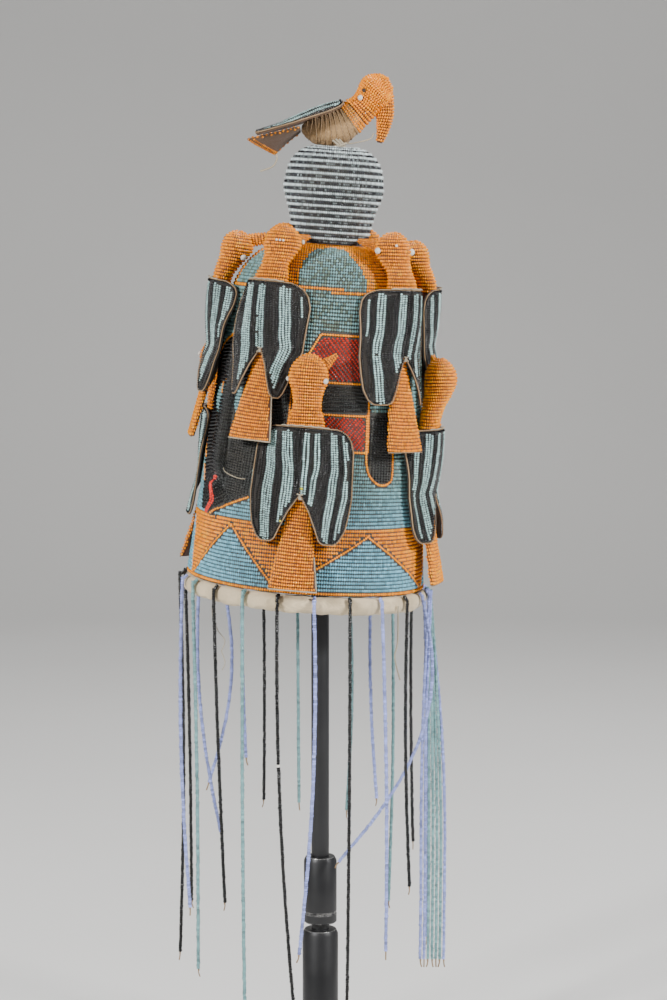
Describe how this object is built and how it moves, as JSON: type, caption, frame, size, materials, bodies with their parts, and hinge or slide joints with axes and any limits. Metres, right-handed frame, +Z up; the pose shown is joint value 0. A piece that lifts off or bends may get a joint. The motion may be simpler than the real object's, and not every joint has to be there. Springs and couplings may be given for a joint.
{
  "type": "beaded crown on post stand",
  "caption": "Tall conical crown covered in seed beads, with stuffed birds round it and one on top, a white padded rim and a veil of bead strings, held on a plain post stand.",
  "frame": {"origin": "centre of the stand base's underside, on the post's axis", "axes": "+Z up along the post; -Y towards the viewer of the picture; +X to the picture's right, the way the crown leans and the top bird looks"},
  "size_m": [0.28, 0.28, 0.9729],
  "materials": {
    "beaded_shell": "stiffened cloth covered in rows of glass seed beads",
    "beaded_orange": "padded cloth covered in orange glass seed beads",
    "beaded_wing": "cloth panel with black and pale blue-green bead stripes",
    "beaded_black": "padded cloth covered in glossy black seed beads",
    "beaded_teal": "padded cloth covered in blue-green seed beads",
    "beaded_stripes": "padded form ringed with pale and dark bead rows",
    "cotton": "plain off-white cotton, slightly soiled",
    "wrapping": "wound tan cloth, worn",
    "black_beads": "glossy opaque glass beads",
    "lavender_beads": "opaque glass beads, satin",
    "teal_beads": "opaque glass beads, satin",
    "black_steel": "satin black paint with bright worn edges"
  },
  "bodies": {
    "root": {"shell": "beaded_shell", "rim_roll": "cotton", "finial": "beaded_stripes", "face_ridge": "beaded_black", "face_mouth": "beaded_black", "face_eye_left": "beaded_teal", "face_eye_right": "beaded_teal", "bird_upper_1": "beaded_orange", "bird_upper_1_wings": "beaded_wing", "bird_upper_2": "beaded_orange", "bird_upper_2_wings": "beaded_wing", "bird_upper_3": "beaded_orange", "bird_upper_3_wings": "beaded_wing", "bird_upper_4": "beaded_orange", "bird_upper_4_wings": "beaded_wing", "bird_upper_5": "beaded_orange", "bird_upper_5_wings": "beaded_wing", "bird_upper_6": "beaded_orange", "bird_upper_6_wings": "beaded_wing", "bird_lower_1": "beaded_orange", "bird_lower_1_wings": "beaded_wing", "bird_lower_2": "beaded_orange", "bird_lower_2_wings": "beaded_wing", "bird_lower_3": "beaded_orange", "bird_lower_3_wings": "beaded_wing", "bird_lower_4": "beaded_orange", "bird_lower_4_wings": "beaded_wing", "top_bird_body": "wrapping", "top_bird_head": "beaded_orange", "top_bird_wings": "beaded_wing", "top_bird_tail": "beaded_orange", "veil_string_01": "black_beads", "veil_string_02": "lavender_beads", "veil_string_03": "teal_beads", "veil_string_04": "black_beads", "veil_string_05": "teal_beads", "veil_string_06": "black_beads", "veil_string_07": "lavender_beads", "veil_string_08": "black_beads", "veil_string_09": "lavender_beads", "veil_string_10": "black_beads", "veil_string_11": "lavender_beads", "veil_string_12": "lavender_beads", "veil_string_13": "black_beads", "veil_string_14": "teal_beads", "veil_string_15": "lavender_beads", "veil_string_16": "teal_beads", "veil_string_17": "teal_beads", "veil_string_18": "black_beads", "veil_string_19": "lavender_beads", "veil_string_20": "lavender_beads", "veil_string_21": "lavender_beads", "veil_string_22": "black_beads", "veil_bundle": "lavender_beads", "stand_base": "black_steel", "stand_tube": "black_steel", "stand_collar": "black_steel", "stand_post": "black_steel"}
  },
  "joints": []
}
